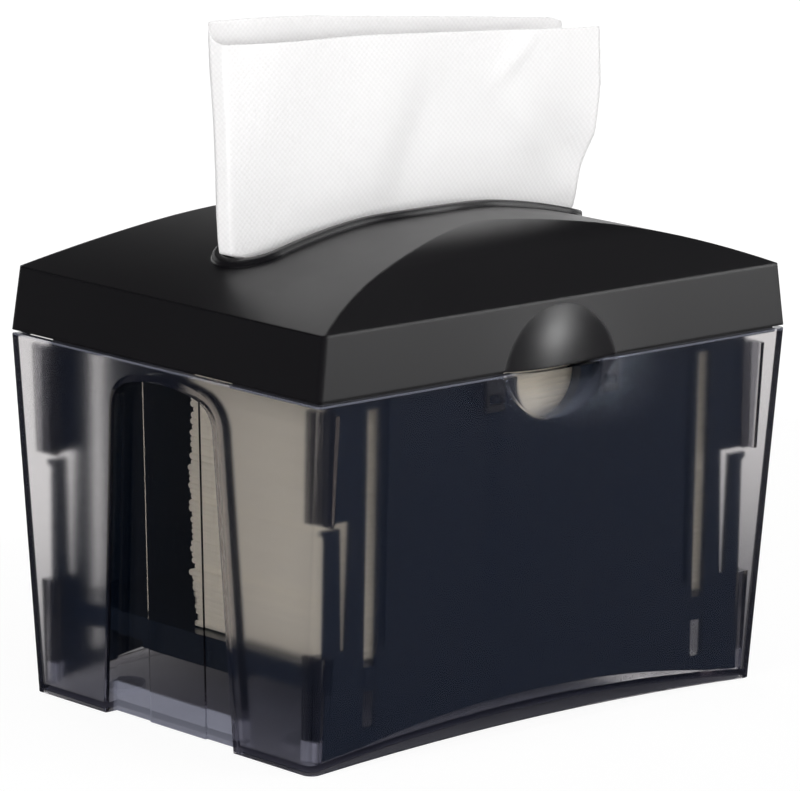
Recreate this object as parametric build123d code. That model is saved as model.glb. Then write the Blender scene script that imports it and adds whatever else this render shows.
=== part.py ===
from build123d import *
import math
import os

# A tabletop napkin dispenser: a smoked shell with a hinged black cover, two black magazine
# panels, a sprung platform and a pack of napkins. Millimetres, +Z up, origin on the table
# under the middle of the shell, the thumb dish on the -Y side.

# Shell
top_width = 203.5
top_depth = 152.7
bottom_width = 195.2
bottom_depth = 137.5
shell_top = 120.0
foot_stand = 0.6
wall = 2.3
corner_low = 3.2
corner_high = 1.6
corner_least = 0.5
skirt_rise = 3.1
skirt_margin = 4.0

# Domed floor of the shell
floor_thickness = 2.2
floor_crown_top = 9.8
floor_fall = 6.6

# Arch-topped recess in each end of the shell
recess_depth = 4.6
recess_low_half = 32.0
recess_high_half = 24.6
recess_shoulder = 110.2
recess_crown = 114.8
recess_corner = 10.0
recess_pad_half = 13.8
recess_pad_proud = 0.8

# Cover
seam_gap = 1.0
cover_wall = 2.2
rim_height = 20.5
rim_lean_x = 2.6
rim_lean_y = 0.9
vault_rise = 19.8
slope_knee_in = 19.0
slope_knee_up = 13.2
slope_top_in = 32.8
slope_top_up = 19.1
lip_thickness = 1.6
lip_depth = 1.2
lip_clearance = 0.5
lip_rear_stop = 16.0
lip_end_break = 32.0
lip_front_break = 26.0
cover_rib = 1.6
cover_rib_x = 45.0
cover_rib_under = 6.0

# Slot in the cover, with its raised bead and the throat under it
slot_half_length = 73.2
slot_half_width = 10.2
slot_swell = 4.2
slot_swell_half = 34.0
bead_width = 3.2
bead_height = 1.9
bead_round = 0.85
on_vault_within = 0.02
throat_wall = 1.6
throat_above_seam = 3.0

# Thumb dish across the seam
dish_half_width = 23.75
dish_depth = 2.3
dish_tongue = 1.6

# Snap tongues inside the front of the cover
tongue_x = 25.2
tongue_width = 8.0
tongue_thickness = 1.4
tongue_drop = 13.0
tongue_gap = 1.0
tongue_window_width = 5.0
tongue_window_height = 3.0
catch_depth = 0.9
catch_width = 3.4
catch_height = 1.6
catch_below_top = 8.0

# Hinge at the back
hinge_in = 3.5
hinge_down = 3.0
hinge_x = 55.0
knuckle_radius = 2.9
knuckle_length = 10.0
knuckle_gap = 0.5
boss_length = 7.0
pin_radius = 1.5
pin_press = 0.01
pin_run = 0.05
pin_end = 0.6
notch_clearance = 1.4
roll_clearance = 0.3

# Magazine panels
panel_face = 66.4
panel_thickness = 2.0
panel_lean = 0.6
panel_half_width = 91.0
panel_top_below_seam = 2.5
panel_seat = 0.3
panel_arch_crown = 12.8
panel_foot_x = 80.0
guide_x = 72.2
guide_slot_width = 5.6
guide_slot_low = 12.0
guide_slot_high = 114.6
guide_end_radius = 0.8
finger_slit_x = 83.4
finger_slit_low_width = 2.6
finger_slit_high_width = 4.6
finger_low = 38.5
finger_high = 78.2
finger_gap = 2.0
finger_hook = 1.5
finger_hook_height = 4.0
notch_half_width = 14.2
notch_bottom = 102.0
pad_half_width = 24.0
pad_side_top = 6.0
pad_side_low = 1.0
pad_proud_top = 2.2
pad_proud_low = 0.3
panel_rib = 1.4

# Guide channels in the shell's corners
channel_x = 92.0
channel_wall = 1.5
channel_lip = 2.6
channel_slack = 0.5
channel_low_top = 38.0
channel_high_margin = 4.0

# Platform that lifts the pack
platform_half_width = 86.0
platform_clearance = 0.6
platform_under = 24.2
platform_height = 7.8
platform_skin = 2.0
platform_corner = 3.0
platform_tab_half = 26.0
platform_tab_drop = 2.2
platform_rib = 1.6
ear_side_clearance = 0.4
ear_out = 0.4
platform_travel = 82.0

# Conical lift spring
spring_wire = 1.6
spring_low_radius = 27.0
spring_high_radius = 20.0
spring_turns = 5
spring_seat_gap = 0.3
spring_boss_gap = 1.2
spring_boss_height = 3.2
spring_cup_wall = 1.5
spring_cup_drop = 2.6

# Feet
foot_x = 78.0
foot_y = 44.7
foot_radius = 5.2
foot_pocket_clearance = 0.2
foot_thickness = 1.8
foot_ring = 1.5
foot_ring_drop = 0.9

# Napkins: a folded size of 165 by 71
napkin_length = 165.0
napkin_fold = 69.0
pack_gap = 0.3
pack_front_gap = 2.8
pack_foot_end = 1.5
pack_foot_back = 4.5
pack_foot_height = 9.0
lead_low_half = 66.0
lead_low_front = -3.0
lead_low_back = -0.5
lead_neck_half = 69.5
lead_neck_front = -6.0
lead_neck_rise = 1.2
lead_above_crest = 67.0
lead_top_front = -6.6
lead_top_left = 1.0
lead_top_right = 12.8

# Worked out from the values above
seam_z = shell_top + seam_gap
rim_top = seam_z + rim_height
rim_half_width = top_width / 2 - rim_lean_x
rim_half_depth = top_depth / 2 - rim_lean_y
crest_z = rim_top + vault_rise
vault_radius = (rim_half_width**2 + vault_rise**2) / (2 * vault_rise)
vault_centre_z = crest_z - vault_radius
slot_end_z = vault_centre_z + math.sqrt(vault_radius**2 - slot_half_length**2)
lead_neck_z = slot_end_z + bead_height + lead_neck_rise
hinge_y = top_depth / 2 - hinge_in
hinge_z = shell_top - hinge_down
panel_inner = panel_face - panel_thickness
panel_top = shell_top - panel_top_below_seam
throat_z = seam_z + throat_above_seam
platform_top = platform_under + platform_height
platform_half_depth = panel_inner - platform_clearance
pack_low = platform_top + pack_gap
pack_high = throat_z - pack_gap
pack_front = -(panel_inner - pack_front_gap)
far = 2 * top_width


def half_width(z):
    share = (z - foot_stand) / (shell_top - foot_stand)
    return (bottom_width + (top_width - bottom_width) * share) / 2


def half_depth(z):
    share = (z - foot_stand) / (shell_top - foot_stand)
    return (bottom_depth + (top_depth - bottom_depth) * share) / 2


def corner_radius(z, inset):
    share = (z - foot_stand) / (shell_top - foot_stand)
    return max(corner_low + (corner_high - corner_low) * share - inset / 2, corner_least)


def floor_z(x, level):
    """Height of the domed floor at x, for a surface whose crown is at level."""
    return level - floor_fall * (x / (bottom_width / 2)) ** 2


def block(x0, x1, y0, y1, z0, z1):
    """Box between two corners."""
    size = Box(x1 - x0, y1 - y0, z1 - z0)
    return Pos((x0 + x1) / 2, (y0 + y1) / 2, (z0 + z1) / 2) * size


def wall_form(inset, low, high):
    """The shell's flared outline between two heights, moved in by inset."""
    rings = []
    for z in (low, high):
        outline = RectangleRounded(
            2 * (half_width(z) - inset), 2 * (half_depth(z) - inset), corner_radius(z, inset)
        )
        rings.append(Plane.XY.offset(z) * outline)
    return loft(rings)


def prism_along_y(edges, y0, y1):
    """Prism whose XZ outline is a closed run of edges, from y0 to y1."""
    face = Plane.XZ.offset(-y0) * make_face(edges)
    return extrude(face, amount=-(y1 - y0))


def prism_along_x(edges, x0, x1):
    """Prism whose YZ outline is a closed run of edges, from x0 to x1."""
    face = Plane.YZ.offset(x0) * make_face(edges)
    return extrude(face, amount=x1 - x0)


def crowned_region(level, top):
    """Everything above the domed surface whose crown is at level, up to top."""
    half = bottom_width / 2
    end_z = floor_z(half, level)
    arc = ThreePointArc((-half, end_z), (0, level), (half, end_z))
    sides = Polyline(
        (half, end_z), (far, end_z), (far, top), (-far, top), (-far, end_z), (-half, end_z)
    )
    return prism_along_y([arc, sides], -far, far)


def end_slab(inset):
    """Block between planes parallel to the two flared ends, moved in by inset."""
    low = -top_width / 4
    high = 2 * shell_top
    outline = Polyline(
        (-half_width(low) + inset, low),
        (half_width(low) - inset, low),
        (half_width(high) - inset, high),
        (-half_width(high) + inset, high),
        close=True,
    )
    return prism_along_y([outline], -far, far)


def recess_arch(grow):
    """Arch-topped prism through both ends; grow moves its outline outwards."""
    below = -shell_top / 4
    lean = (recess_low_half - recess_high_half) / recess_shoulder
    low_half = recess_low_half - lean * below
    sides = Polyline(
        (recess_high_half, recess_shoulder),
        (low_half, below),
        (-low_half, below),
        (-recess_high_half, recess_shoulder),
    )
    crown = ThreePointArc(
        (-recess_high_half, recess_shoulder), (0, recess_crown), (recess_high_half, recess_shoulder)
    )
    face = make_face([sides, crown])
    face = fillet(face.vertices().group_by(Axis.Y)[-1], recess_corner)
    if grow:
        face = offset(face, amount=grow)
    return extrude(Plane.YZ * face, amount=far, both=True)


def dish_ball(grow):
    """Ball that hollows the thumb dish into the front, larger by grow."""
    radius = (dish_half_width**2 + dish_depth**2) / (2 * dish_depth)
    front = -top_depth / 2
    return Pos(0, front + dish_depth - radius, shell_top + seam_gap / 2) * Sphere(radius + grow)


def dish_tongue_prism(drop, half):
    """Lens under the seam that lowers the cover's edge within the thumb dish."""
    arc = ThreePointArc((-half, seam_z), (0, seam_z - drop), (half, seam_z))
    return prism_along_y([arc, Line((half, seam_z), (-half, seam_z))], -far, 0)


def leaned(shape):
    """Shape turned about the foot of the front panel, so that its top comes forwards."""
    return shape.rotate(Axis((0, -panel_face, 0), (1, 0, 0)), panel_lean)


def corner_channels(shell_body):
    """Clear C-shaped channels in the four corners that hold the panels' edges."""
    rails = []
    spans = (
        (foot_stand, channel_low_top),
        (finger_high + finger_gap, shell_top - channel_high_margin),
    )
    inner = channel_x - channel_lip
    outer = channel_x + channel_wall
    front = -panel_face - channel_slack
    back = -panel_inner + channel_slack
    for low, high in spans:
        rail = block(channel_x, outer, -far, back + 2 * channel_wall, low, high)
        rail = rail + block(inner, channel_x, front - channel_wall, front, low, high)
        rail = rail + block(inner, channel_x, back, back + channel_wall, low, high)
        rail = leaned(rail)
        rails += [rail, mirror(rail, about=Plane.YZ)]
    rails += [mirror(rail, about=Plane.XZ) for rail in rails]
    room = wall_form(wall / 2, foot_stand, shell_top) & crowned_region(
        floor_crown_top - floor_thickness / 2, shell_top
    )
    for rail in rails:
        shell_body = shell_body + (rail & room)
    return shell_body


def foot_places():
    return [(sx * foot_x, sy * foot_y) for sx in (-1, 1) for sy in (-1, 1)]


def add_foot_pockets(shell_body):
    under_floor = wall_form(0, foot_stand, shell_top) - crowned_region(
        floor_crown_top - floor_thickness / 2, 2 * shell_top
    )
    ring_radius = foot_radius + foot_pocket_clearance + foot_ring
    for x, y in foot_places():
        boss = Pos(x, y, foot_ring_drop) * Cylinder(
            ring_radius, floor_crown_top, align=(Align.CENTER, Align.CENTER, Align.MIN)
        )
        shell_body = shell_body + (boss & under_floor)
    for x, y in foot_places():
        pocket = Pos(x, y, 0) * Cylinder(
            foot_radius + foot_pocket_clearance,
            foot_thickness,
            align=(Align.CENTER, Align.CENTER, Align.MIN),
        )
        shell_body = shell_body - pocket
    return shell_body


def rod(x0, x1, radius):
    """Cylinder along X on the hinge axis."""
    bar = Cylinder(radius, x1 - x0, rotation=(0, 90, 0))
    return Pos((x0 + x1) / 2, hinge_y, hinge_z) * bar


def add_hinge_bosses(shell_body):
    """Bosses on both sides of each notch in the rear wall, and the rounded rear edge."""
    reach = knuckle_length / 2 + knuckle_gap
    inside = wall_form(0, foot_stand, shell_top)
    for sx in (-1, 1):
        middle = sx * hinge_x
        for side in (-1, 1):
            start = middle + side * reach
            end = start + side * boss_length
            low, high = min(start, end), max(start, end)
            boss = rod(low, high, knuckle_radius)
            web = block(low, high, hinge_y, top_depth / 2, hinge_z - knuckle_radius, hinge_z)
            shell_body = shell_body + ((boss + web) & inside)
        room = block(
            middle - reach,
            middle + reach,
            hinge_y - knuckle_radius - notch_clearance,
            far,
            hinge_z - knuckle_radius - notch_clearance,
            far,
        )
        shell_body = shell_body - room
        outer = reach + boss_length + 1
        shell_body = shell_body - rod(middle - outer, middle + outer, pin_radius + pin_press)
    roll = seam_z - hinge_z - roll_clearance
    edge_y = hinge_y + math.sqrt(roll**2 - hinge_down**2)
    edge_z = hinge_z + math.sqrt(roll**2 - hinge_in**2)
    back = top_depth / 2
    relief = Polyline(
        (edge_y, shell_top),
        (back, edge_z),
        (back + 1, edge_z),
        (back + 1, shell_top + 1),
        (edge_y, shell_top + 1),
        close=True,
    )
    return shell_body - prism_along_x([relief], -far, far)


def make_shell():
    outer = wall_form(0, foot_stand, shell_top)
    cavity = wall_form(wall, foot_stand - 1, shell_top + 1)
    above = crowned_region(floor_crown_top, 2 * shell_top)
    below = wall_form(wall, foot_stand - 1, shell_top) - crowned_region(
        floor_crown_top - floor_thickness, 2 * shell_top
    )
    body = outer - (cavity & above) - below
    behind = (recess_arch(wall) & outer) - end_slab(recess_depth + wall)
    body = body + behind
    body = body - (recess_arch(0) - end_slab(recess_depth))
    pad = block(-far, far, -recess_pad_half, recess_pad_half, foot_stand, shell_top)
    pad = (pad & recess_arch(0) & end_slab(recess_depth - recess_pad_proud)) - end_slab(
        recess_depth + wall / 2
    )
    body = body + (pad & outer)
    half_span = bottom_width / 2 - skirt_margin
    arch = ThreePointArc(
        (-half_span, foot_stand), (0, foot_stand + skirt_rise), (half_span, foot_stand)
    )
    under = Polyline(
        (half_span, foot_stand),
        (half_span, -foot_stand),
        (-half_span, -foot_stand),
        (-half_span, foot_stand),
    )
    body = body - prism_along_y([arch, under], -far, far)
    body = corner_channels(body)
    body = add_foot_pockets(body)
    seat_radius = spring_low_radius - spring_wire / 2 - spring_boss_gap
    boss_top = floor_crown_top + spring_boss_height
    boss = Pos(0, 0, floor_crown_top - floor_thickness / 2) * Cylinder(
        seat_radius,
        boss_top - floor_crown_top + floor_thickness / 2,
        align=(Align.CENTER, Align.CENTER, Align.MIN),
    )
    hollow = Pos(0, 0, floor_crown_top) * Cylinder(
        seat_radius - wall, shell_top, align=(Align.CENTER, Align.CENTER, Align.MIN)
    )
    body = body + (boss - hollow)
    backing = dish_ball(wall) & wall_form(wall / 2, shell_top / 2, shell_top)
    body = body + backing - dish_ball(0)
    body = body - dish_tongue_prism(dish_tongue + seam_gap, dish_half_width + 2 * seam_gap)
    catch_z = shell_top - catch_below_top
    for sx in (-1, 1):
        inner = -(half_depth(catch_z) - wall)
        catch = block(
            sx * tongue_x - catch_width / 2,
            sx * tongue_x + catch_width / 2,
            inner - wall / 2,
            inner + catch_depth,
            catch_z - catch_height / 2,
            catch_z + catch_height / 2,
        )
        body = body + catch
    return add_hinge_bosses(body)


def slope_profile(inset):
    """YZ outline of the cover's front and rear slopes: straight, then a tangent arc."""
    knee = (-rim_half_depth + slope_knee_in, rim_top + slope_knee_up)
    top = (-rim_half_depth + slope_top_in, rim_top + slope_top_up)
    rise = math.atan2(slope_knee_up, slope_knee_in)
    chord = math.atan2(top[1] - knee[1], top[0] - knee[0])
    radius = math.dist(knee, top) / (2 * math.sin(rise - chord))
    centre = (knee[0] + radius * math.sin(rise), knee[1] - radius * math.cos(rise))
    inner = radius - inset
    bend = (centre[0] - inner * math.sin(rise), centre[1] + inner * math.cos(rise))
    half = (centre[0] - inner * math.sin(rise / 2), centre[1] + inner * math.cos(rise / 2))
    crown = (centre[0], centre[1] + inner)
    run = (far / 4) / math.cos(rise)
    out = (bend[0] - run * math.cos(rise), bend[1] - run * math.sin(rise))
    return [
        Line(out, bend),
        ThreePointArc(bend, half, crown),
        Line(crown, (-crown[0], crown[1])),
        ThreePointArc((-crown[0], crown[1]), (-half[0], half[1]), (-bend[0], bend[1])),
        Line((-bend[0], bend[1]), (-out[0], out[1])),
        Line((-out[0], out[1]), out),
    ]


def vault_region(lift):
    """Everything under the barrel vault, lifted by lift, down to the table."""
    radius = vault_radius + lift
    half = top_width
    end_z = vault_centre_z + math.sqrt(radius**2 - half**2)
    arc = ThreePointArc((-half, end_z), (0, vault_centre_z + radius), (half, end_z))
    rest = Polyline((half, end_z), (half, 0), (-half, 0), (-half, end_z))
    return prism_along_y([arc, rest], -far, far)


def cover_form(inset, low):
    """The cover's outside, or with an inset the hollow within it, from low upwards."""
    lean_x = rim_lean_x / rim_height
    lean_y = rim_lean_y / rim_height
    rings = []
    for z in (low, rim_top + 2 * vault_rise):
        rise = z - seam_z
        outline = RectangleRounded(
            top_width - 2 * (lean_x * rise + inset),
            top_depth - 2 * (lean_y * rise + inset),
            max(corner_high - inset / 2, corner_least),
        )
        rings.append(Plane.XY.offset(z) * outline)
    slopes = prism_along_x(slope_profile(inset), -far, far)
    return loft(rings) & vault_region(-inset) & slopes


def slot_outline(grow):
    """Slot seen from above: a stadium whose long sides swell at the middle."""
    stadium = SlotCenterToCenter(2 * (slot_half_length - slot_half_width), 2 * slot_half_width)
    bend = 2 * math.atan2(slot_swell / 2, slot_swell_half / 2)
    radius = (slot_swell_half / 2) / math.sin(bend)
    near = radius * math.sin(bend / 2)
    drop = radius * (1 - math.cos(bend / 2))
    start = (-slot_swell_half, slot_half_width)
    turn = (-slot_swell_half / 2, slot_half_width + slot_swell / 2)
    peak = (0, slot_half_width + slot_swell)
    hollow = ThreePointArc(start, (start[0] + near, start[1] + drop), turn)
    swell = ThreePointArc(turn, (-near, peak[1] - drop), peak)
    left = [hollow, swell, Line(peak, (0, 0)), Line((0, 0), (start[0], 0)), Line((start[0], 0), start)]
    quarter = make_face(left)
    half = quarter + mirror(quarter, about=Plane.YZ)
    outline = stadium + half + mirror(half, about=Plane.XZ)
    if grow:
        outline = offset(outline, amount=grow)
    return outline


def on_vault(edge, lift):
    """Whether an edge lies on the barrel vault lifted by lift."""
    for share in (0.1, 0.5, 0.9):
        place = edge.position_at(share)
        reach = math.hypot(place.X, place.Z - vault_centre_z)
        if abs(reach - vault_radius - lift) > on_vault_within:
            return False
    return True


def add_slot(body):
    """Bead round the slot, throat under it, and the slot itself."""
    bead = extrude(slot_outline(bead_width), amount=2 * shell_top) & vault_region(bead_height)
    bead = bead - vault_region(-cover_wall / 2)
    opening = extrude(slot_outline(0), amount=2 * shell_top)
    bead = bead - opening
    bead = fillet([edge for edge in bead.edges() if on_vault(edge, bead_height)], bead_round)
    throat = extrude(slot_outline(throat_wall), amount=2 * shell_top) & vault_region(-cover_wall / 2)
    throat = throat & block(-far, far, -far, far, throat_z, far)
    return body + bead + throat - opening


def cover_lip():
    """Lip that reaches down inside the shell on the front and the two sides."""
    gap = wall + lip_clearance
    low = shell_top - lip_depth
    top = seam_z + cover_wall
    outer = wall_form(gap, low, top)
    shoulder = wall_form(wall / 2, seam_z, top)
    ring = (outer + shoulder) - wall_form(gap + lip_thickness, low - 1, top + 1)
    ring = ring & block(-far, far, -far, hinge_y - lip_rear_stop, 0, far)
    ring = ring - block(-far, far, -lip_end_break, lip_end_break, 0, seam_z)
    return ring - block(-lip_front_break, lip_front_break, -far, 0, 0, seam_z)


def snap_tongue(x):
    """Tongue behind the front wall, with the window that the shell's catch sits in."""
    low = seam_z - tongue_drop
    catch_z = shell_top - catch_below_top
    face = -(half_depth(low) - wall - tongue_gap)
    left = x - tongue_width / 2
    right = x + tongue_width / 2
    blade = block(left, right, face, face + tongue_thickness, low, seam_z + cover_wall)
    root = block(
        left,
        right,
        -(top_depth / 2 - cover_wall / 2),
        face + tongue_thickness,
        seam_z,
        seam_z + cover_wall,
    )
    window = block(
        x - tongue_window_width / 2,
        x + tongue_window_width / 2,
        -far,
        face + 2 * tongue_thickness,
        catch_z - tongue_window_height / 2,
        catch_z + tongue_window_height / 2,
    )
    return blade + root - window


def cover_knuckle(x):
    """Knuckle that hangs under the cover's rear rim on the hinge axis."""
    half = knuckle_length / 2
    eye = rod(x - half, x + half, knuckle_radius)
    arm = block(
        x - half,
        x + half,
        hinge_y - knuckle_radius,
        hinge_y + knuckle_radius,
        hinge_z,
        seam_z + 2 * cover_wall,
    )
    foot = block(
        x - half,
        x + half,
        hinge_y - knuckle_radius,
        top_depth / 2 - cover_wall / 2,
        seam_z,
        seam_z + 2 * cover_wall,
    )
    return (eye + arm + foot) - rod(x - knuckle_length, x + knuckle_length, pin_radius + pin_run)


def make_cover():
    body = cover_form(0, seam_z) - cover_form(cover_wall, seam_z - 1)
    inner_room = cover_form(cover_wall / 2, seam_z)
    rib = block(
        cover_rib_x - cover_rib / 2,
        cover_rib_x + cover_rib / 2,
        -far,
        far,
        seam_z + cover_rib_under,
        far,
    )
    rib = rib & inner_room
    body = body + rib + mirror(rib, about=Plane.YZ)
    body = add_slot(body)
    body = body + cover_lip()
    for sx in (-1, 1):
        body = body + snap_tongue(sx * tongue_x)
    for sx in (-1, 1):
        body = body + cover_knuckle(sx * hinge_x)
    tongue = dish_tongue_prism(dish_tongue, dish_half_width)
    front = top_depth / 2
    tongue = tongue & block(-far, far, -front, -front + dish_depth + cover_wall, 0, far)
    backing = dish_ball(cover_wall) & cover_form(cover_wall / 2, seam_z)
    return body + backing + tongue - dish_ball(0)


def arched_foot(level):
    """Region above the arched lower edge of a magazine panel."""
    foot_z = floor_z(panel_foot_x, floor_crown_top)
    low = -floor_crown_top
    arc = ThreePointArc((-panel_foot_x, foot_z), (0, level), (panel_foot_x, foot_z))
    rest = Polyline(
        (panel_foot_x, foot_z), (panel_foot_x, low), (-panel_foot_x, low), (-panel_foot_x, foot_z)
    )
    return prism_along_y([arc, rest], -far, far)


def guide_slot(x):
    width = guide_slot_width
    height = guide_slot_high - guide_slot_low
    face = RectangleRounded(width, height, guide_end_radius)
    middle = (guide_slot_high + guide_slot_low) / 2
    return extrude(Plane.XZ * Pos(x, middle) * face, amount=far, both=True)


def finger_slit():
    """L-shaped slit that frees a snap finger in the right edge of a panel."""
    low_half = finger_slit_low_width / 2
    high_half = finger_slit_high_width / 2
    top = finger_high + finger_gap
    slit = Polyline(
        (finger_slit_x - low_half, finger_low),
        (finger_slit_x + low_half, finger_low),
        (finger_slit_x + high_half, finger_high),
        (panel_half_width + finger_hook + 1, finger_high),
        (panel_half_width + finger_hook + 1, top),
        (finger_slit_x - high_half, top),
        close=True,
    )
    return prism_along_y([slit], -far, far)


def finger_catch():
    """Hook at the finger's free end that reaches under the shell's channel."""
    hook = Polyline(
        (panel_half_width - 1, finger_high),
        (panel_half_width + finger_hook, finger_high),
        (panel_half_width + finger_hook, finger_high - finger_hook_height / 3),
        (panel_half_width - 1, finger_high - finger_hook_height),
        close=True,
    )
    return prism_along_y([hook], -panel_face, -panel_inner)


def centre_pad():
    """Wedge-shaped raised zone in the middle of the panel, deeper at the top."""
    low = panel_arch_crown - 1
    sections = []
    for z, side, proud in ((low, pad_side_low, pad_proud_low), (panel_top, pad_side_top, pad_proud_top)):
        half = pad_half_width
        face = -panel_face
        points = Polyline(
            (-half, face + panel_thickness / 2),
            (-half, face),
            (-half + side, face - proud),
            (half - side, face - proud),
            (half, face),
            (half, face + panel_thickness / 2),
            close=True,
        )
        sections.append(Plane.XY.offset(z) * make_face([points]))
    return loft(sections, ruled=True)


def make_panel():
    """Front magazine panel; the rear one is its mirror image."""
    plate = block(-panel_half_width, panel_half_width, -panel_face, -panel_inner, 0, panel_top)
    plate = plate + centre_pad()
    plate = plate - arched_foot(panel_arch_crown)
    plate = plate & crowned_region(floor_crown_top + panel_seat, shell_top)
    for sx in (-1, 1):
        plate = plate - guide_slot(sx * guide_x)
    slit = finger_slit()
    hook = finger_catch()
    plate = plate - slit - mirror(slit, about=Plane.YZ) + hook + mirror(hook, about=Plane.YZ)
    for sx in (-1, 1):
        rib_x = sx * (guide_x - guide_slot_width)
        rib = block(
            rib_x - panel_rib / 2,
            rib_x + panel_rib / 2,
            -panel_face - panel_rib,
            -panel_inner,
            channel_low_top,
            panel_top,
        )
        plate = plate + rib
    notch_z = notch_bottom + notch_half_width
    notch = Pos(0, 0, notch_z) * Cylinder(notch_half_width, far, rotation=(90, 0, 0))
    notch = notch + block(-notch_half_width, notch_half_width, -far, 0, notch_z, far)
    return leaned(plate - notch)


def make_platform():
    """Follower plate: a shallow upturned tray with ears in the guide slots."""
    low = platform_under
    top = platform_top
    plan = RectangleRounded(2 * platform_half_width, 2 * platform_half_depth, platform_corner)
    body = extrude(Plane.XY.offset(low) * plan, amount=top - low)
    inner = RectangleRounded(
        2 * (platform_half_width - platform_skin),
        2 * (platform_half_depth - platform_skin),
        platform_corner - platform_skin / 2,
    )
    body = body - extrude(Plane.XY.offset(low) * inner, amount=top - low - platform_skin)
    for sx in (-1, 1):
        edge = sx * (platform_half_width - platform_skin / 2)
        body = body + block(
            edge - platform_skin / 2,
            edge + platform_skin / 2,
            -platform_tab_half,
            platform_tab_half,
            low - platform_tab_drop,
            top - platform_skin / 2,
        )
    cup_radius = spring_high_radius + spring_wire / 2 + spring_boss_gap
    cup_low = top - platform_skin - spring_cup_drop
    for sy in (-1, 1):
        body = body + block(
            -platform_half_width + 1,
            platform_half_width - 1,
            sy * platform_half_depth / 2 - platform_rib / 2,
            sy * platform_half_depth / 2 + platform_rib / 2,
            low + platform_skin,
            top - 1,
        )
    for sx in (-1, 1):
        body = body + block(
            sx * platform_half_width / 2 - platform_rib / 2,
            sx * platform_half_width / 2 + platform_rib / 2,
            -platform_half_depth + 1,
            platform_half_depth - 1,
            low + platform_skin,
            top - 1,
        )
    cup = Pos(0, 0, cup_low) * Cylinder(
        cup_radius + spring_cup_wall,
        spring_cup_drop + 1,
        align=(Align.CENTER, Align.CENTER, Align.MIN),
    )
    hole = Pos(0, 0, cup_low) * Cylinder(
        cup_radius, spring_cup_drop, align=(Align.CENTER, Align.CENTER, Align.MIN)
    )
    body = body + (cup - hole)
    ear_half = guide_slot_width / 2 - ear_side_clearance
    ear_reach = panel_face + ear_out
    for sx in (-1, 1):
        for sy in (-1, 1):
            start, end = sorted((sy * (platform_half_depth - 1), sy * ear_reach))
            body = body + block(
                sx * guide_x - ear_half, sx * guide_x + ear_half, start, end, low, top
            )
    return body


def helix_point(angle, low, high, turns):
    """Point and tangent of the conical helix after angle radians of its turns."""
    share = angle / (2 * math.pi * turns)
    radius = spring_low_radius + (spring_high_radius - spring_low_radius) * share
    shrink = (spring_high_radius - spring_low_radius) / (2 * math.pi * turns)
    climb = (high - low) / (2 * math.pi * turns)
    place = Vector(radius * math.cos(angle), radius * math.sin(angle), low + climb * angle)
    run = Vector(
        shrink * math.cos(angle) - radius * math.sin(angle),
        shrink * math.sin(angle) + radius * math.cos(angle),
        climb,
    )
    return place, run.normalized()


def biarc(start, start_run, end, end_run):
    """Two arcs, tangent to each other, from start to end along the given tangents."""
    chord = end - start
    both = start_run + end_run
    a = 2 * (1 - start_run.dot(end_run))
    b = 2 * chord.dot(both)
    c = -chord.dot(chord)
    reach = (-b + math.sqrt(b * b - 4 * a * c)) / (2 * a)
    first = start + start_run * reach
    second = end - end_run * reach
    middle = (first + second) * 0.5
    arcs = []
    for begin, corner, finish in ((start, first, middle), (middle, second, end)):
        half_chord = (begin + finish) * 0.5
        legs = (corner - begin).length
        span = (finish - begin).length / 2
        height = (corner - half_chord).length
        sagitta = span * (legs - span) / height
        peak = half_chord + (corner - half_chord).normalized() * sagitta
        arcs.append(ThreePointArc(begin, peak, finish))
    return arcs


def make_spring():
    """Conical helix, one unbroken tube, two biarcs to each turn."""
    low = floor_crown_top + spring_seat_gap + spring_wire / 2
    high = platform_top - platform_skin - spring_seat_gap - spring_wire / 2
    step = math.pi
    count = 2 * spring_turns
    edges = []
    for n in range(count):
        here, here_run = helix_point(n * step, low, high, spring_turns)
        there, there_run = helix_point((n + 1) * step, low, high, spring_turns)
        edges += biarc(here, here_run, there, there_run)
    path = Wire(edges)
    start, run = helix_point(0, low, high, spring_turns)
    section = Plane(origin=start, z_dir=run) * Circle(spring_wire / 2)
    climb = (high - low) / spring_turns
    shrink = (spring_low_radius - spring_high_radius) / spring_turns
    print("spring gap between turns", round(math.hypot(climb, shrink) - spring_wire, 2))
    return sweep(section, path=path)


def make_pin(x):
    reach = knuckle_length / 2 + knuckle_gap + boss_length - pin_end
    return rod(x - reach, x + reach, pin_radius)


def make_foot(x, y):
    foot = Pos(x, y, 0) * Cylinder(
        foot_radius, foot_thickness, align=(Align.CENTER, Align.CENTER, Align.MIN)
    )
    return chamfer(foot.edges().group_by(Axis.Z)[0], foot_stand / 2)


def make_pack():
    """The stack of folded napkins; the lowest ones are squeezed shorter at the back."""
    back = pack_front + napkin_fold
    rings = []
    for z, end_in, back_in in (
        (pack_low, pack_foot_end, pack_foot_back),
        (pack_low + pack_foot_height, pack_foot_end, pack_foot_back),
        (pack_low + pack_foot_height + pack_foot_back, 0, 0),
        (pack_high, 0, 0),
    ):
        half = napkin_length / 2 - end_in
        plan = block(-half, half, pack_front, back - back_in, z, z + 1).faces().sort_by(Axis.Z)[0]
        rings.append(plan)
    return loft(rings, ruled=True)


def make_lead():
    """The napkin that stands out of the slot: pinched in the throat, open at the top."""
    sections = []
    for z, half, front, left, right in (
        (throat_z + pack_gap, lead_low_half, lead_low_front, lead_low_back, lead_low_back),
        (lead_neck_z, lead_neck_half, lead_neck_front, lead_low_back, lead_low_back),
        (crest_z + lead_above_crest, napkin_length / 2, lead_top_front, lead_top_left, lead_top_right),
    ):
        outline = Polyline((-half, front), (half, front), (half, right), (-half, left), close=True)
        sections.append(Plane.XY.offset(z) * make_face([outline]))
    return loft(sections[:2], ruled=True) + loft(sections[1:], ruled=True)


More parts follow.
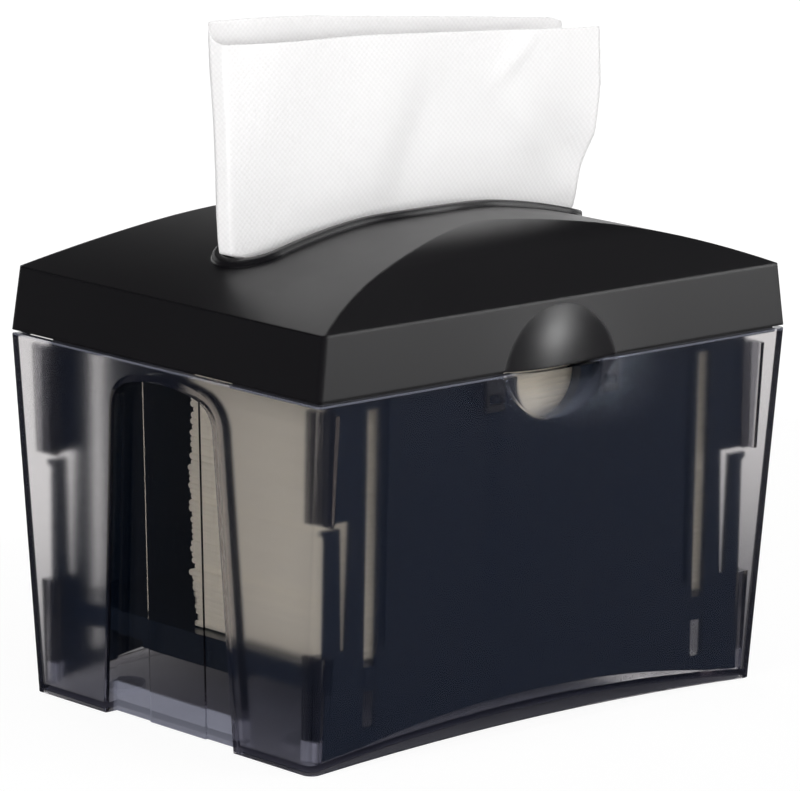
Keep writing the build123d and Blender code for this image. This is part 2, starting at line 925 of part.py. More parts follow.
def write(shape, name):
    export_step(shape, "parts/" + name + ".step")
    box = shape.bounding_box()
    print(name, "volume", round(shape.volume), "from", box.min, "to", box.max)


os.makedirs("parts", exist_ok=True)
write(make_shell(), "shell")
write(make_cover(), "cover")
panel = make_panel()
write(panel, "magazine_front_panel")
write(mirror(panel, about=Plane.XZ), "magazine_rear_panel")
write(make_platform(), "platform")
write(make_spring(), "lift_spring")
for side, name in ((-1, "left"), (1, "right")):
    write(make_pin(side * hinge_x), "hinge_pin_" + name)
for (x, y), name in zip(foot_places(), ("front_left", "rear_left", "front_right", "rear_right")):
    write(make_foot(x, y), "foot_" + name)
write(make_pack(), "napkin_pack")
write(make_lead(), "lead_napkin")
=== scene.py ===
import math
import bmesh
import bpy
import numpy as np
from mathutils import Matrix, Vector


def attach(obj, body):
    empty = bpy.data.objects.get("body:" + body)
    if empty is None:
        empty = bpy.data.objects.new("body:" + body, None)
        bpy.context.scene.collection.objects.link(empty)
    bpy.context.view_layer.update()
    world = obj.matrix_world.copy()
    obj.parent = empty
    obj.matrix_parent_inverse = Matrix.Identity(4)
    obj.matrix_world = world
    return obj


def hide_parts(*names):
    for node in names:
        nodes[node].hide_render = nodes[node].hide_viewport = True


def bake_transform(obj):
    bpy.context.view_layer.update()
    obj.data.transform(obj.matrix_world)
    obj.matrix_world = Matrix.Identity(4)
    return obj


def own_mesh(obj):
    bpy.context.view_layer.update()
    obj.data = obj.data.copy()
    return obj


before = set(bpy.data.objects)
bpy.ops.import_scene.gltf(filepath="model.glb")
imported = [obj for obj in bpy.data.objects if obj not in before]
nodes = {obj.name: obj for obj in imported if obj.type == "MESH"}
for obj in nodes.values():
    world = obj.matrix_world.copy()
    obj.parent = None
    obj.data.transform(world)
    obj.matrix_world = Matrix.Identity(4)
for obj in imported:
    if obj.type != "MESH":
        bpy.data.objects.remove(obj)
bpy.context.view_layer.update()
print("frame loaded,", len(nodes), "nodes")

# sizes are in millimetres, but the camera's distances, the lamps' and the studio's are in metres
mm = 0.001
# a count of bounces under this is none
noBounce = 0.5
# noise stays mostly between these
noiseLow, noiseHigh = 0.3, 0.7
# a Map Range node that eases in and out
smooth = {"interpolation_type": "SMOOTHSTEP"}


def linear(code):
    # sRGB hex text to linear light
    parts = [int(code[i : i + 2], 16) / 255 for i in (1, 3, 5)]
    return [p / 12.92 if p <= 0.04045 else ((p + 0.055) / 1.055) ** 2.4 for p in parts] + [1.0]


def addNode(tree, kind, values=None, **settings):
    # one node with its settings; values gives each input a number or a link.
    # In a Mix node, 0 is the share, 2 and 3 are its numbers, and 6 and 7 its colours
    node = tree.nodes.new("ShaderNode" + kind)
    for key, value in settings.items():
        setattr(node, key, value)
    for key, value in (values or {}).items():
        if isinstance(value, bpy.types.NodeSocket):
            tree.links.new(value, node.inputs[key])
        else:
            node.inputs[key].default_value = value
    return node


def newMaterial(name):
    material = bpy.data.materials.new(name)
    material.use_nodes = True
    material.node_tree.nodes.clear()
    return material, material.node_tree


def paint(obj, material):
    obj.data.materials.clear()
    obj.data.materials.append(material)


def smoothStep(low, high, value):
    share = np.clip((value - low) / (high - low), 0, 1)
    return share * share * (3 - 2 * share)


def gridPiece(name, points, material, wrapColumns=False, uv=None, merge=False):
    # a grid of points, rows by columns by 3 in millimetres, joined into quads
    rows, columns = points.shape[:2]
    index = np.arange(rows * columns).reshape(rows, columns)
    right = np.roll(index, -1, axis=1) if wrapColumns else index[:, 1:]
    left = index if wrapColumns else index[:, :-1]
    faces = np.stack([left[:-1], right[:-1], right[1:], left[1:]], axis=-1).reshape(-1, 4)
    mesh = bpy.data.meshes.new(name)
    mesh.from_pydata((points.reshape(-1, 3) * mm).tolist(), [], faces.tolist())
    if uv is not None:
        layer = mesh.uv_layers.new(name="sheetMetres")
        corner = np.empty(len(mesh.loops), np.int32)
        mesh.loops.foreach_get("vertex_index", corner)
        layer.data.foreach_set("uv", (uv.reshape(-1, 2)[corner] * mm).astype(np.float32).ravel())
    if merge:
        work = bmesh.new()
        work.from_mesh(mesh)
        bmesh.ops.remove_doubles(work, verts=work.verts, dist=1e-7)
        bmesh.ops.dissolve_degenerate(work, edges=work.edges, dist=1e-8)
        bmesh.ops.recalc_face_normals(work, faces=work.faces)
        work.to_mesh(mesh)
        work.free()
    mesh.polygons.foreach_set("use_smooth", [True] * len(mesh.polygons))
    obj = bpy.data.objects.new(name, mesh)
    bpy.context.scene.collection.objects.link(obj)
    paint(obj, material)
    return obj


view = {
    "azimuth": -42.081,
    "elevation": 11.8491,
    "roll": 0.6757,
    "distance": 1.85399,
    "aimRight": 0.00022,
    "aimUp": 0.09588,
    "focalPixels": 5595.3,
    "framePixels": 800,
    "sensor": 36.0,
    "reach": 20.0,
}


def placeCamera(v):
    # the camera looks back along (sin az cos el, -cos az cos el, sin el), rolled about that line
    az, el, roll = (math.radians(v[key]) for key in ("azimuth", "elevation", "roll"))
    back = Vector((math.sin(az) * math.cos(el), -math.cos(az) * math.cos(el), math.sin(el)))
    side = Vector((math.cos(az), math.sin(az), 0))
    rise = back.cross(side)
    place = side * v["aimRight"] + rise * v["aimUp"] + back * v["distance"]
    right = side * math.cos(roll) + rise * math.sin(roll)
    up = rise * math.cos(roll) - side * math.sin(roll)
    data = bpy.data.cameras.new("camera")
    data.sensor_width = v["sensor"]
    data.lens = v["focalPixels"] / v["framePixels"] * v["sensor"]
    data.clip_end = v["reach"]
    camera = bpy.data.objects.new("camera", data)
    bpy.context.scene.collection.objects.link(camera)
    camera.matrix_world = Matrix.Translation(place) @ Matrix((right, up, back)).transposed().to_4x4()
    bpy.context.scene.camera = camera


placeCamera(view)
bpy.context.scene.view_settings.view_transform = "Standard"


# lengths in metres, but for the floor's half width
studio = {
    "diffuseLight": 0.17,
    "overhead": 0.02,
    "horizon": 1.5,
    "horizonWay": (0.62, 0.78, 0.0),
    "horizonTop": 0.42,
    "horizonFull": 0.12,
    "horizonFrom": 0.35,
    "horizonTo": 0.75,
    "floorColour": "#dcdcdc",
    "floorShown": 0.85,
    "floorWhite": 1.08,
    "floorPaintedShade": "#7c7c80",
    "rearFrom": 0.0,
    "rearTo": 0.32,
    "endFrom": 0.105,
    "endTo": 0.5,
    "nearGloss": 0.06,
    "farGloss": 0.8,
    "farWay": (0.66, -0.75, 0.0),
    "farFrom": 0.8,
    "farTo": 1.2,
    "floorHalf": 6e3,
}


def straightThrough(tree, ray):
    # 1 for a camera ray, also one that went only through clear plastic, with no bounce on the way
    out = ray.outputs
    bounces = addNode(tree, "Math", {0: out["Diffuse Depth"], 1: out["Glossy Depth"]}, operation="ADD")
    direct = addNode(tree, "Math", {0: bounces.outputs[0], 1: noBounce}, operation="LESS_THAN")
    clear = addNode(tree, "Math", {0: direct.outputs[0], 1: out["Is Transmission Ray"]}, operation="MULTIPLY")
    seen = addNode(tree, "Math", {0: clear.outputs[0], 1: out["Is Camera Ray"]}, operation="MAXIMUM")
    return seen.outputs[0]


def mirrored(tree, ray, seen):
    # 1 for a ray that gloss sent off, before any matt surface
    out = ray.outputs
    early = addNode(tree, "Math", {0: out["Diffuse Depth"], 1: noBounce}, operation="LESS_THAN")
    gloss = addNode(tree, "Math", {0: early.outputs[0], 1: out["Is Glossy Ray"]}, operation="MULTIPLY")
    rest = addNode(tree, "Math", {0: gloss.outputs[0], 1: seen}, operation="SUBTRACT", use_clamp=True)
    return rest.outputs[0]


def makeWorld(s):
    # white to the camera and through clear plastic; reflections see a bright horizon behind and a dark room
    world = bpy.data.worlds.new("studioRoom")
    bpy.context.scene.world = world
    world.use_nodes = True
    tree = world.node_tree
    tree.nodes.clear()
    ray = addNode(tree, "LightPath")
    seen = straightThrough(tree, ray)
    way = addNode(tree, "TexCoord").outputs["Generated"]
    part = addNode(tree, "SeparateXYZ", {0: way})
    behind = addNode(tree, "VectorMath", {0: way, 1: s["horizonWay"]}, operation="DOT_PRODUCT")
    low = addNode(tree, "MapRange", {0: part.outputs[2], 1: s["horizonTop"], 2: s["horizonFull"]}, **smooth)
    reach = {0: behind.outputs["Value"], 1: s["horizonFrom"], 2: s["horizonTo"]}
    far = addNode(tree, "MapRange", reach, **smooth)
    glow = addNode(tree, "Math", {0: low.outputs[0], 1: far.outputs[0]}, operation="MULTIPLY")
    light = {0: glow.outputs[0], 1: s["horizon"], 2: s["overhead"]}
    gloss = addNode(tree, "Math", light, operation="MULTIPLY_ADD")
    soft = addNode(tree, "Mix", {0: mirrored(tree, ray, seen), 2: s["diffuseLight"], 3: gloss.outputs[0]})
    level = addNode(tree, "Mix", {0: seen, 2: soft.outputs[0], 3: 1.0})
    back = addNode(tree, "Background", {"Color": (1, 1, 1, 1), "Strength": level.outputs[0]})
    addNode(tree, "OutputWorld", {"Surface": back.outputs[0]})


def makeFloor(s):
    # pale sheet on the table: nearly white to the camera, with a trace of the object's shadow; through the
    # clear plastic it is painted a darker grey under the object, as painted shade, and goes white further off
    material, tree = newMaterial("seamlessPaperFloor")
    ray = addNode(tree, "LightPath")
    camera = ray.outputs["Is Camera Ray"]
    seen = straightThrough(tree, ray)
    place = addNode(tree, "TexCoord").outputs["Object"]
    part = addNode(tree, "SeparateXYZ", {0: place})
    sideways = addNode(tree, "Math", {0: part.outputs[0]}, operation="ABSOLUTE")
    rear = addNode(tree, "MapRange", {0: part.outputs[1], 1: s["rearFrom"], 2: s["rearTo"]}, **smooth)
    ends = addNode(tree, "MapRange", {0: sideways.outputs[0], 1: s["endFrom"], 2: s["endTo"]}, **smooth)
    openFloor = addNode(tree, "Math", {0: rear.outputs[0], 1: ends.outputs[0]}, operation="MAXIMUM")
    plain = addNode(tree, "Math", {0: camera, 1: s["floorShown"]}, operation="MULTIPLY")
    share = addNode(tree, "Math", {0: openFloor.outputs[0], 1: plain.outputs[0]}, operation="MAXIMUM")
    shown = addNode(tree, "Math", {0: share.outputs[0], 1: seen}, operation="MULTIPLY")
    # seen straight through the clear plastic, the matt sheet takes the darker tone: painted shade under the
    # object
    behind = addNode(tree, "Math", {0: seen, 1: camera}, operation="SUBTRACT")
    colours = {6: linear(s["floorColour"]), 7: linear(s["floorPaintedShade"])}
    tone = addNode(tree, "Mix", {0: behind.outputs[0]} | colours, data_type="RGBA")
    matt = addNode(tree, "BsdfDiffuse", {"Color": tone.outputs[2]})
    white = addNode(tree, "Emission", {"Strength": s["floorWhite"]})
    lit = addNode(tree, "MixShader", {0: shown.outputs[0], 1: matt.outputs[0], 2: white.outputs[0]})
    # in reflections the sheet is dark near the object and goes bright far off in front and to the right
    towards = addNode(tree, "VectorMath", {0: place, 1: s["farWay"]}, operation="DOT_PRODUCT")
    reach = {0: towards.outputs["Value"], 1: s["farFrom"], 2: s["farTo"], 3: s["nearGloss"], 4: s["farGloss"]}
    distant = addNode(tree, "MapRange", reach, **smooth)
    dark = addNode(tree, "Emission", {"Strength": distant.outputs[0]})
    both = addNode(tree, "MixShader", {0: mirrored(tree, ray, seen), 1: lit.outputs[0], 2: dark.outputs[0]})
    addNode(tree, "OutputMaterial", {"Surface": both.outputs[0]})
    half = s["floorHalf"]
    points = np.array([[[-half, -half, 0], [half, -half, 0]], [[-half, half, 0], [half, half, 0]]], float)
    gridPiece("floor", points, material)


def softbox(name, place, aim, width, height, power, shown=True, lights=True, spread=180):
    # an area lamp aimed at a point; one with a narrow spread has a grid in front, and lights only what it
    # faces. shown is whether gloss mirrors it, and lights is whether it falls on matt surfaces
    data = bpy.data.lights.new(name, "AREA")
    data.spread = math.radians(spread)
    data.shape = "RECTANGLE"
    data.size = width
    data.size_y = height
    data.energy = power
    lamp = bpy.data.objects.new(name, data)
    bpy.context.scene.collection.objects.link(lamp)
    direction = Vector(aim) - Vector(place)
    lamp.matrix_world = Matrix.Translation(place) @ direction.to_track_quat("-Z", "Y").to_matrix().to_4x4()
    lamp.visible_camera = False
    lamp.visible_transmission = False
    lamp.visible_glossy = shown
    lamp.visible_diffuse = lights


makeWorld(studio)
makeFloor(studio)
softbox("softboxFrontRight", (1.25, -1.45, 0.62), (0, 0, 0.12), 1.3, 1.1, 20)
softbox("softboxFrontLeft", (-1.2, -1.6, 0.5), (0, 0, 0.16), 1.2, 1.2, 22, shown=False)
softbox("cardAbove", (1.12, -0.32, 1.3), (0, 0, 0.14), 0.35, 0.35, 0.3, lights=False)
softbox("softboxLeft", (-1.9, -0.3, 0.6), (0, 0, 0.1), 1.2, 1.2, 17, shown=False)
softbox("softboxAbove", (-0.2, -0.3, 2.2), (0, 0, 0.1), 1.6, 1.6, 10, shown=False)
softbox("cardLow", (0.22, -0.29, 0.035), (0, -0.0745, 0.135), 0.03, 0.03, 0.00022, lights=False, spread=9)
softbox("softboxRear", (0.7, 1.9, 0.8), (0, 0, 0.14), 1.3, 1.3, 14, shown=False)
print("camera and studio set")


absLook = {
    "ior": 1.53,
    "cloud": 45.45,
    "uneven": 0.03,
    "bevelSamples": 4,
    "filletFrom": 0.985,
    "filletFull": 0.93,
    "rubbed": 0.45,
    "grainBump": 0.12,
    "grainDepth": 0.02,
}
coverLook = {
    "colour": "#100f12",
    "roughness": 0.38,
    "grain": 0.5,
    "edge": 1.4,
    "dish": {
        "front": 76.35,
        "seam": 120.25,
        "halfWidth": 23.75,
        "depth": 2.3,
        "fit": 0.15,
        "roughness": 0.25,
    },
}
# the panels and platform are black ABS; their colour is painted dark navy: painted light for the bluish veil
# the smoked wall in front casts over them
panelLookPaintedVeil = {"colour": "#0c1624", "roughness": 0.17, "grain": 0.4, "edge": 0.4, "dish": None}


def blackAbs(name, v):
    # ABS, injection moulded against a spark-eroded tool: a deep black that goes grey only where a lamp
    # grazes it, in faint clouds about 45 mm wide; the tool's grain is about 0.25 mm and too fine to show,
    # so it is drawn at 0.4 to 0.5 mm
    material, tree = newMaterial(name)
    a = absLook
    place = addNode(tree, "TexCoord").outputs["Object"]
    grain = addNode(tree, "TexNoise", {"Vector": place, "Scale": 1 / (v["grain"] * mm), "Detail": 2.0})
    cloud = addNode(tree, "TexNoise", {"Vector": place, "Scale": 1 / (a["cloud"] * mm), "Detail": 3.0})
    soft = addNode(tree, "MapRange", {
        0: cloud.outputs[0],
        1: noiseLow,
        2: noiseHigh,
        3: v["roughness"] - a["uneven"],
        4: v["roughness"] + a["uneven"],
    })
    rounded = addNode(tree, "Bevel", {"Radius": v["edge"] * mm}, samples=a["bevelSamples"])
    # the fillets are rubbed smoother than the faces, so that they draw a thin bright line along each edge
    face = addNode(tree, "NewGeometry").outputs["Normal"]
    turned = addNode(tree, "VectorMath", {0: rounded.outputs[0], 1: face}, operation="DOT_PRODUCT")
    bend = {0: turned.outputs["Value"], 1: a["filletFrom"], 2: a["filletFull"]}
    fillet = addNode(tree, "MapRange", bend, **smooth)
    rough = addNode(tree, "Mix", {0: fillet.outputs[0], 2: soft.outputs[0], 3: a["rubbed"] * v["roughness"]})
    if v["dish"]:
        # the thumb dish is polished; it is a shallow cap of a ball, and the ball's
        # radius = (half width^2 + depth^2) / (2 depth)
        dish = v["dish"]
        radius = (dish["halfWidth"] ** 2 + dish["depth"] ** 2) / (2 * dish["depth"])
        centre = (0, (dish["depth"] - dish["front"] - radius) * mm, dish["seam"] * mm)
        away = addNode(tree, "VectorMath", {0: place, 1: centre}, operation="DISTANCE")
        onBall = {0: away.outputs["Value"], 1: radius * mm, 2: dish["fit"] * mm}
        scoop = addNode(tree, "Math", onBall, operation="COMPARE")
        rough = addNode(tree, "Mix", {0: scoop.outputs[0], 2: rough.outputs[0], 3: dish["roughness"]})
    bump = addNode(tree, "Bump", {
        "Strength": a["grainBump"],
        "Distance": a["grainDepth"] * mm,
        "Height": grain.outputs[0],
        "Normal": rounded.outputs[0],
    })
    body = addNode(tree, "BsdfPrincipled", {
        "Base Color": linear(v["colour"]),
        "Roughness": rough.outputs[0],
        "IOR": a["ior"],
        "Normal": bump.outputs[0],
    })
    addNode(tree, "OutputMaterial", {"Surface": body.outputs[0]})
    return material


# lengths in millimetres; the outer wall's half sizes are base + slope * height
shellLook = {
    "satinRoughness": 0.24,
    "polishedRoughness": 0.03,
    "ior": 1.53,
    "baseHalfX": 97.579,
    "slopeX": 0.034757,
    "baseHalfY": 68.712,
    "slopeY": 0.063652,
    "skinFrom": -1.2,
    "skinFull": -0.5,
    "insideTo": -3.2,
    "floorTop": 10.6,
    "railX": 88.0,
    "railY": 58.0,
    "rimFrom": 119.3,
    "grain": 0.6,
    "grainBump": 0.1,
    "grainDepth": 0.02,
    "mirrorTint": (0.42, 0.47, 0.6, 1.0),
    "railTintAndShade": "#9a9a9e",
    "skinHaze": 0.006,
    "skinHazeColour": "#90a8ff",
    "rimHaze": 0.16,
    "rimHazeColour": "#b4b8cc",
    "floorHaze": 0.19,
    "floorHazeColour": "#c8cce0",
    "shadowTint": (0.96, 0.96, 0.96, 1.0),
    "smokeDensity": 260.0,
    "smokeColour": (0.72, 0.70, 0.715, 1.0),
}


def smokedStyrene(v):
    # styrene acrylonitrile, tinted in the melt: clear and glossy inside and in the end recesses, and a fine
    # satin on the outer walls, which blurs what stands behind them; the tint deepens where it is thick.
    # The satin's own grain is too fine to show, so it is drawn at 0.6 mm
    material, tree = newMaterial("smokedStyreneMoulded")
    shadow = addNode(tree, "LightPath").outputs["Is Shadow Ray"]
    place = addNode(tree, "TexCoord").outputs["Object"]
    part = addNode(tree, "SeparateXYZ", {0: place})
    up = part.outputs[2]
    sizeX = addNode(tree, "Math", {0: part.outputs[0]}, operation="ABSOLUTE")
    sizeY = addNode(tree, "Math", {0: part.outputs[1]}, operation="ABSOLUTE")
    wallX = addNode(tree, "Math", {0: up, 1: v["slopeX"], 2: v["baseHalfX"] * mm}, operation="MULTIPLY_ADD")
    wallY = addNode(tree, "Math", {0: up, 1: v["slopeY"], 2: v["baseHalfY"] * mm}, operation="MULTIPLY_ADD")
    offX = addNode(tree, "Math", {0: sizeX.outputs[0], 1: wallX.outputs[0]}, operation="SUBTRACT")
    offY = addNode(tree, "Math", {0: sizeY.outputs[0], 1: wallY.outputs[0]}, operation="SUBTRACT")
    near = addNode(tree, "Math", {0: offX.outputs[0], 1: offY.outputs[0]}, operation="MAXIMUM")
    depth = {0: near.outputs[0], 1: v["skinFrom"] * mm, 2: v["skinFull"] * mm}
    skin = addNode(tree, "MapRange", depth, **smooth)
    rough = addNode(tree, "MapRange", {0: skin.outputs[0], 3: v["polishedRoughness"], 4: v["satinRoughness"]})
    grain = addNode(tree, "TexNoise", {"Vector": place, "Scale": 1 / (v["grain"] * mm), "Detail": 1.0})
    relief = addNode(tree, "Math", {0: grain.outputs[0], 1: skin.outputs[0]}, operation="MULTIPLY")
    bump = addNode(tree, "Bump", {
        "Strength": v["grainBump"],
        "Distance": v["grainDepth"] * mm,
        "Height": relief.outputs[0],
    })
    # the inner surfaces are the floor, which is a little hazy, and all above it; the corner rails are greyer:
    # the deeper tint of thick plastic, and painted shade that dims the light running inside them
    inside = addNode(tree, "Math", {0: near.outputs[0], 1: v["insideTo"] * mm}, operation="LESS_THAN")
    low = addNode(tree, "Math", {0: up, 1: v["floorTop"] * mm}, operation="LESS_THAN")
    base = addNode(tree, "Math", {0: inside.outputs[0], 1: low.outputs[0]}, operation="MULTIPLY")
    above = {0: inside.outputs[0], 1: base.outputs[0]}
    raised = addNode(tree, "Math", above, operation="SUBTRACT", use_clamp=True)
    endwards = addNode(tree, "Math", {0: sizeX.outputs[0], 1: v["railX"] * mm}, operation="GREATER_THAN")
    cornered = addNode(tree, "Math", {0: sizeY.outputs[0], 1: v["railY"] * mm}, operation="GREATER_THAN")
    rails = addNode(tree, "Math", {0: endwards.outputs[0], 1: cornered.outputs[0]}, operation="MULTIPLY")
    railShare = addNode(tree, "Math", {0: rails.outputs[0], 1: raised.outputs[0]}, operation="MULTIPLY")
    tones = {6: (1, 1, 1, 1), 7: linear(v["railTintAndShade"])}
    tone = addNode(tree, "Mix", {0: railShare.outputs[0]} | tones, data_type="RGBA")
    clear = addNode(tree, "BsdfPrincipled", {
        "Base Color": tone.outputs[2],
        "Roughness": rough.outputs[0],
        "IOR": v["ior"],
        "Transmission Weight": 1.0,
        "Specular Tint": v["mirrorTint"],
        "Normal": bump.outputs[0],
    })
    # thin veils of scattered light: a trace on the satin walls, more on the rim and on the floor
    onRim = addNode(tree, "Math", {0: up, 1: v["rimFrom"] * mm}, operation="GREATER_THAN")
    hazes = {6: linear(v["skinHazeColour"]), 7: linear(v["rimHazeColour"])}
    veilTone = addNode(tree, "Mix", {0: onRim.outputs[0]} | hazes, data_type="RGBA")
    veil = addNode(tree, "BsdfDiffuse", {"Color": veilTone.outputs[2]})
    rimShare = addNode(tree, "Math", {0: onRim.outputs[0], 1: v["rimHaze"]}, operation="MULTIPLY")
    amount = {0: skin.outputs[0], 1: v["skinHaze"], 2: rimShare.outputs[0]}
    skinShare = addNode(tree, "Math", amount, operation="MULTIPLY_ADD")
    veiled = addNode(tree, "MixShader", {0: skinShare.outputs[0], 1: clear.outputs[0], 2: veil.outputs[0]})
    haze = addNode(tree, "BsdfDiffuse", {"Color": linear(v["floorHazeColour"])})
    floorShare = addNode(tree, "Math", {0: base.outputs[0], 1: v["floorHaze"]}, operation="MULTIPLY")
    hazed = addNode(tree, "MixShader", {0: floorShare.outputs[0], 1: veiled.outputs[0], 2: haze.outputs[0]})
    through = addNode(tree, "BsdfTransparent", {"Color": v["shadowTint"]})
    both = addNode(tree, "MixShader", {0: shadow, 1: hazed.outputs[0], 2: through.outputs[0]})
    smoke = addNode(tree, "VolumeAbsorption", {"Color": v["smokeColour"], "Density": v["smokeDensity"]})
    addNode(tree, "OutputMaterial", {"Surface": both.outputs[0], "Volume": smoke.outputs[0]})
    return material


paperLook = {
    "fibres": 1.111,
    "embossShadeColour": "#f6f5f5",
    "dotEdge": 0.6,
    "bump": 0.5,
    "depth": 0.12,
    "roughness": 0.9,
    "ior": 1.4,
    "sheen": 0.15,
    "sheenRoughness": 0.5,
    "glow": 0.12,
}


def tissuePaper(name, colour, emboss):
    # two-ply cellulose tissue, dry creped and point embossed: a dead matt white that lets light glow through;
    # the embossing is staggered dots, sin(2 pi u / pitch) sin(2 pi v / pitch), about 1 mm from row to row.
    # Single fibres are too fine to show, so they are drawn as clumps about 1.1 mm wide
    material, tree = newMaterial(name)
    v = paperLook
    if emboss:
        source = addNode(tree, "UVMap", uv_map="sheetMetres").outputs[0]
    else:
        source = addNode(tree, "TexCoord").outputs["Object"]
    fibre = addNode(tree, "TexNoise", {"Vector": source, "Scale": 1 / (v["fibres"] * mm), "Detail": 3.0})
    height = fibre.outputs[0]
    tone = linear(colour)
    if emboss:
        turn = 2 * math.pi / (emboss * mm)
        part = addNode(tree, "SeparateXYZ", {0: source})
        waveU = addNode(tree, "Math", {0: part.outputs[0], 1: turn}, operation="MULTIPLY")
        waveV = addNode(tree, "Math", {0: part.outputs[1], 1: turn}, operation="MULTIPLY")
        sineU = addNode(tree, "Math", {0: waveU.outputs[0]}, operation="SINE")
        sineV = addNode(tree, "Math", {0: waveV.outputs[0]}, operation="SINE")
        dots = addNode(tree, "Math", {0: sineU.outputs[0], 1: sineV.outputs[0]}, operation="MULTIPLY")
        height = addNode(tree, "Math", {0: dots.outputs[0], 1: height}, operation="ADD").outputs[0]
        # the pressed-in dots are painted a shade darker than the sheet: painted shade in the embossing
        spots = addNode(tree, "MapRange", {0: dots.outputs[0], 1: -v["dotEdge"], 2: v["dotEdge"]}, **smooth)
        colours = {6: linear(v["embossShadeColour"]), 7: linear(colour)}
        tone = addNode(tree, "Mix", {0: spots.outputs[0]} | colours, data_type="RGBA").outputs[2]
    bump = addNode(tree, "Bump", {"Strength": v["bump"], "Distance": v["depth"] * mm, "Height": height})
    body = addNode(tree, "BsdfPrincipled", {
        "Base Color": tone,
        "Roughness": v["roughness"],
        "IOR": v["ior"],
        "Normal": bump.outputs[0],
        "Sheen Weight": v["sheen"],
        "Sheen Roughness": v["sheenRoughness"],
    })
    glow = addNode(tree, "BsdfTranslucent", {"Color": linear(colour)})
    both = addNode(tree, "MixShader", {0: v["glow"], 1: body.outputs[0], 2: glow.outputs[0]})
    addNode(tree, "OutputMaterial", {"Surface": both.outputs[0]})
    return material


steelLook = {"lines": 0.714, "uneven": 0.08}


def drawnSteel(name, colour, roughness):
    # steel wire, drawn through a die or ground: bright grey, a little uneven; the tool's lines are too fine
    # to show, so they are drawn as patches about 0.7 mm wide
    material, tree = newMaterial(name)
    v = steelLook
    place = addNode(tree, "TexCoord").outputs["Object"]
    lines = addNode(tree, "TexNoise", {"Vector": place, "Scale": 1 / (v["lines"] * mm), "Detail": 2.0})
    rough = addNode(tree, "MapRange", {
        0: lines.outputs[0],
        1: noiseLow,
        2: noiseHigh,
        3: roughness - v["uneven"],
        4: roughness + v["uneven"],
    })
    body = addNode(tree, "BsdfPrincipled", {
        "Base Color": linear(colour),
        "Metallic": 1.0,
        "Roughness": rough.outputs[0],
    })
    addNode(tree, "OutputMaterial", {"Surface": body.outputs[0]})
    return material


rubberLook = {
    "colour": "#5a5a5c",
    "dustColour": "#77777a",
    "dust": 2.0,
    "bump": 0.3,
    "depth": 0.05,
    "roughness": 0.75,
}


def mouldedRubber(name, v):
    # thermoplastic rubber, moulded: soft grey with a matt skin, dusty in patches 2 mm wide
    material, tree = newMaterial(name)
    place = addNode(tree, "TexCoord").outputs["Object"]
    dust = addNode(tree, "TexNoise", {"Vector": place, "Scale": 1 / (v["dust"] * mm), "Detail": 3.0})
    colours = {6: linear(v["colour"]), 7: linear(v["dustColour"])}
    tone = addNode(tree, "Mix", {0: dust.outputs[0]} | colours, data_type="RGBA")
    height = dust.outputs[0]
    bump = addNode(tree, "Bump", {"Strength": v["bump"], "Distance": v["depth"] * mm, "Height": height})
    body = addNode(tree, "BsdfPrincipled", {
        "Base Color": tone.outputs[2],
        "Roughness": v["roughness"],
        "Normal": bump.outputs[0],
    })
    addNode(tree, "OutputMaterial", {"Surface": body.outputs[0]})
    return material


coverPlastic = blackAbs("blackAbsSatinMoulded", coverLook)
panelPlastic = blackAbs("blackAbsGlossMoulded", panelLookPaintedVeil)
shellPlastic = smokedStyrene(shellLook)
sheetPaper = tissuePaper("tissueEmbossed", "#fbfafa", emboss=2.0)
# the stacked napkins are the same white tissue, painted warmer: painted light for the tinted light that
# reaches them through the smoked walls
stackPaperPaintedWarm = tissuePaper("tissueStackedPaintedWarmLight", "#fff9e9", emboss=0)
springSteel = drawnSteel("springSteelDrawn", "#a6a8aa", 0.32)
pinSteel = drawnSteel("pinSteelGround", "#b8babc", 0.22)
footRubber = mouldedRubber("rubberMoulded", rubberLook)
print("materials made")

for material, names in (
    (shellPlastic, ("shell",)),
    (coverPlastic, ("cover",)),
    (panelPlastic, ("magazine_front_panel", "magazine_rear_panel", "platform")),
    (pinSteel, ("hinge_pin_left", "hinge_pin_right")),
    (footRubber, ("foot_front_left", "foot_front_right", "foot_rear_left", "foot_rear_right")),
    (springSteel, ("lift_spring",)),
    (stackPaperPaintedWarm, ("napkin_pack", "lead_napkin")),
):
    for name in names:
        paint(nodes[name], material)


pack = {
    "halfLength": 82.2,
    "front": -61.3,
    "back": 7.1,
    "low": 32.4,
    "high": 123.4,
    "layers": 48,
    "phases": [0.03, 0.16, 0.34, 0.5, 0.66, 0.84, 0.97],
    "corner": 1.6,
    "perSide": 90,
    "perEnd": 50,
    "perCorner": 5,
    "foldDepth": 0.85,
    "cutDepth": 0.4,
    "slip": 0.45,
    "leanLong": {"size": 0.48, "wave": 17.0, "shift": 1.3},
    "leanShort": {"size": 0.24, "wave": 9.0},
    "ripples": 24,
    "rippleDepth": 0.22,
    "droop": {"size": 0.35, "wave": 7.0, "perTurn": 3, "within": 8.0},
    "seed": 11,
    "footTo": 41.4,
    "fullFrom": 45.9,
    "footEnd": 1.5,
    "footBack": 4.5,
    "capLift": 0.02,
    "capRings": [0.99, 0.93, 0.7, 0.35, 0.0],
}


